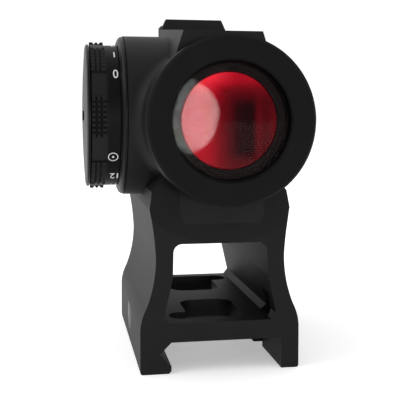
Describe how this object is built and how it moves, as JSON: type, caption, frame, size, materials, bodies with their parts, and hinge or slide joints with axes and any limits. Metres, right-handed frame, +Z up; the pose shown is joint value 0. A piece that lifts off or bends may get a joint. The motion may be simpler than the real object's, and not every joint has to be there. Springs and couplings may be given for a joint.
{
  "type": "red dot finder",
  "caption": "Compact tube red dot sight on a skeletonised rail riser, with a rotary brightness dial, coin-slot battery cap and capped windage and elevation turrets.",
  "frame": {"origin": "on the rail seat, on the optical centre plane, straight below the centre of the brightness dial", "axes": "+X right as seen from the objective end, +Y towards the eyepiece, +Z up"},
  "size_m": [0.0466, 0.0653, 0.0688],
  "materials": {
    "black_anodised": "matte hard anodised, bead blasted",
    "black_anodised_fine": "satin hard anodised, turned",
    "black_steel": "black oxide",
    "coated_glass": "dichroic coating, red in reflection",
    "clear_glass": "polished, anti-reflection coated",
    "rubber": "nitrile",
    "circuit_board": "solder mask over glass epoxy",
    "black_plastic": "moulded",
    "polyimide": "amber film",
    "steel": "bright",
    "spring_steel": "bright spring wire",
    "gold_contact": "gold flashed",
    "brass": "turned",
    "emitter": "clear epoxy over a red die"
  },
  "bodies": {
    "sight": {"riser_mount": "black_anodised", "mount_screws": "black_steel", "main_housing": "black_anodised", "objective_bezel": "black_anodised_fine", "objective_window": "clear_glass", "reflector_lens": "coated_glass", "lens_retaining_ring": "black_anodised_fine", "objective_o_ring": "rubber", "rear_bezel": "black_anodised_fine", "rear_window": "clear_glass", "rear_retaining_ring": "black_anodised_fine", "rear_o_ring": "rubber", "circuit_board": "circuit_board", "board_chips": "black_plastic", "board_screws": "steel", "flex_ribbon": "polyimide", "battery_contact": "gold_contact", "index_ring": "black_anodised_fine", "detent_spring": "spring_steel", "return_spring": "spring_steel"},
    "clamp_bolt": {"cross_bolt": "black_steel"},
    "jaw": {"clamp_jaw": "black_anodised", "clamp_nut": "black_steel"},
    "dial": {"brightness_dial": "black_anodised_fine", "dial_o_ring": "rubber", "battery": "steel"},
    "battery_cap_seal": {"battery_cap_o_ring": "rubber"},
    "battery_cap": {"battery_cap": "black_anodised_fine"},
    "detent": {"detent_ball": "steel"},
    "elevation_adjuster": {"elevation_screw": "brass"},
    "elevation_pin": {"elevation_plunger": "steel"},
    "windage_adjuster": {"windage_screw": "brass"},
    "windage_pin": {"windage_plunger": "steel"},
    "elevation_cap_seal": {"elevation_cap_o_ring": "rubber"},
    "elevation_cap": {"elevation_cap": "black_anodised_fine"},
    "windage_cap_seal": {"windage_cap_o_ring": "rubber"},
    "windage_cap": {"windage_cap": "black_anodised_fine"},
    "pivot": {"pivot_ring": "brass"},
    "optic_tube": {"inner_tube": "black_anodised_fine", "led_holder": "black_plastic", "led_emitter": "emitter"}
  },
  "joints": [
    {"name": "clamp_bolt_turn", "type": "hinge", "parent": "sight", "child": "clamp_bolt", "pos_m": [-0.00045, 0.0037, -0.00045], "axis": [-1, 0, 0], "range_deg": [0, 1925]},
    {"name": "jaw_slide", "type": "slide", "parent": "sight", "child": "jaw", "axis": [1, 0, 0], "range_m": [0, 0.0032]},
    {"name": "dial_turn", "type": "hinge", "parent": "sight", "child": "dial", "pos_m": [-0.02, 0, 0.04175], "axis": [-1, 0, 0], "range_deg": [-180, 112.5]},
    {"name": "battery_cap_lift", "type": "slide", "parent": "dial", "child": "battery_cap_seal", "axis": [-1, 0, 0], "range_m": [0, 0.004]},
    {"name": "battery_cap_turn", "type": "hinge", "parent": "battery_cap_seal", "child": "battery_cap", "pos_m": [-0.024, 0, 0.04175], "axis": [-1, 0, 0], "range_deg": [0, 1445]},
    {"name": "detent_press", "type": "slide", "parent": "sight", "child": "detent", "axis": [0, 1, 0], "range_m": [0, 0.00025], "stiffness_N_per_m": 200},
    {"name": "elevation_turn", "type": "hinge", "parent": "sight", "child": "elevation_adjuster", "pos_m": [0, 0.0221, 0.058], "axis": [0, 0, 1], "range_deg": [-300, 300]},
    {"name": "elevation_pin_travel", "type": "slide", "parent": "sight", "child": "elevation_pin", "axis": [0, 0, -1], "range_m": [-0.000415, 0.000415]},
    {"name": "windage_turn", "type": "hinge", "parent": "sight", "child": "windage_adjuster", "pos_m": [0.017, 0.0221, 0.0408], "axis": [1, 0, 0], "range_deg": [-300, 300]},
    {"name": "windage_pin_travel", "type": "slide", "parent": "sight", "child": "windage_pin", "axis": [-1, 0, 0], "range_m": [-0.000415, 0.000415]},
    {"name": "elevation_cap_lift", "type": "slide", "parent": "sight", "child": "elevation_cap_seal", "axis": [0, 0, 1], "range_m": [0, 0.003]},
    {"name": "elevation_cap_turn", "type": "hinge", "parent": "elevation_cap_seal", "child": "elevation_cap", "pos_m": [0, 0.0221, 0.06], "axis": [0, 0, 1], "range_deg": [0, 1445]},
    {"name": "windage_cap_lift", "type": "slide", "parent": "sight", "child": "windage_cap_seal", "axis": [1, 0, 0], "range_m": [0, 0.003]},
    {"name": "windage_cap_turn", "type": "hinge", "parent": "windage_cap_seal", "child": "windage_cap", "pos_m": [0.019, 0.0221, 0.0408], "axis": [1, 0, 0], "range_deg": [0, 1445]},
    {"name": "windage_tilt", "type": "hinge", "parent": "sight", "child": "pivot", "pos_m": [0, -0.0127, 0.0408], "axis": [0, 0, 1], "range_deg": [-0.69, 0.69]},
    {"name": "elevation_tilt", "type": "hinge", "parent": "pivot", "child": "optic_tube", "pos_m": [0, -0.0127, 0.0408], "axis": [1, 0, 0], "range_deg": [-0.69, 0.69]}
  ],
  "couplings": [
    {"joint": "clamp_bolt_turn", "follows": "jaw_slide", "rad_per_m": 10472},
    {"joint": "battery_cap_turn", "follows": "battery_cap_lift", "rad_per_m": 6283.2},
    {"joint": "elevation_turn", "follows": "elevation_pin_travel", "rad_per_m": 12566},
    {"joint": "elevation_tilt", "follows": "elevation_pin_travel", "rad_per_m": -28.736},
    {"joint": "windage_turn", "follows": "windage_pin_travel", "rad_per_m": 12566},
    {"joint": "windage_tilt", "follows": "windage_pin_travel", "rad_per_m": 28.736},
    {"joint": "elevation_cap_turn", "follows": "elevation_cap_lift", "rad_per_m": 8377.6},
    {"joint": "windage_cap_turn", "follows": "windage_cap_lift", "rad_per_m": 8377.6}
  ]
}
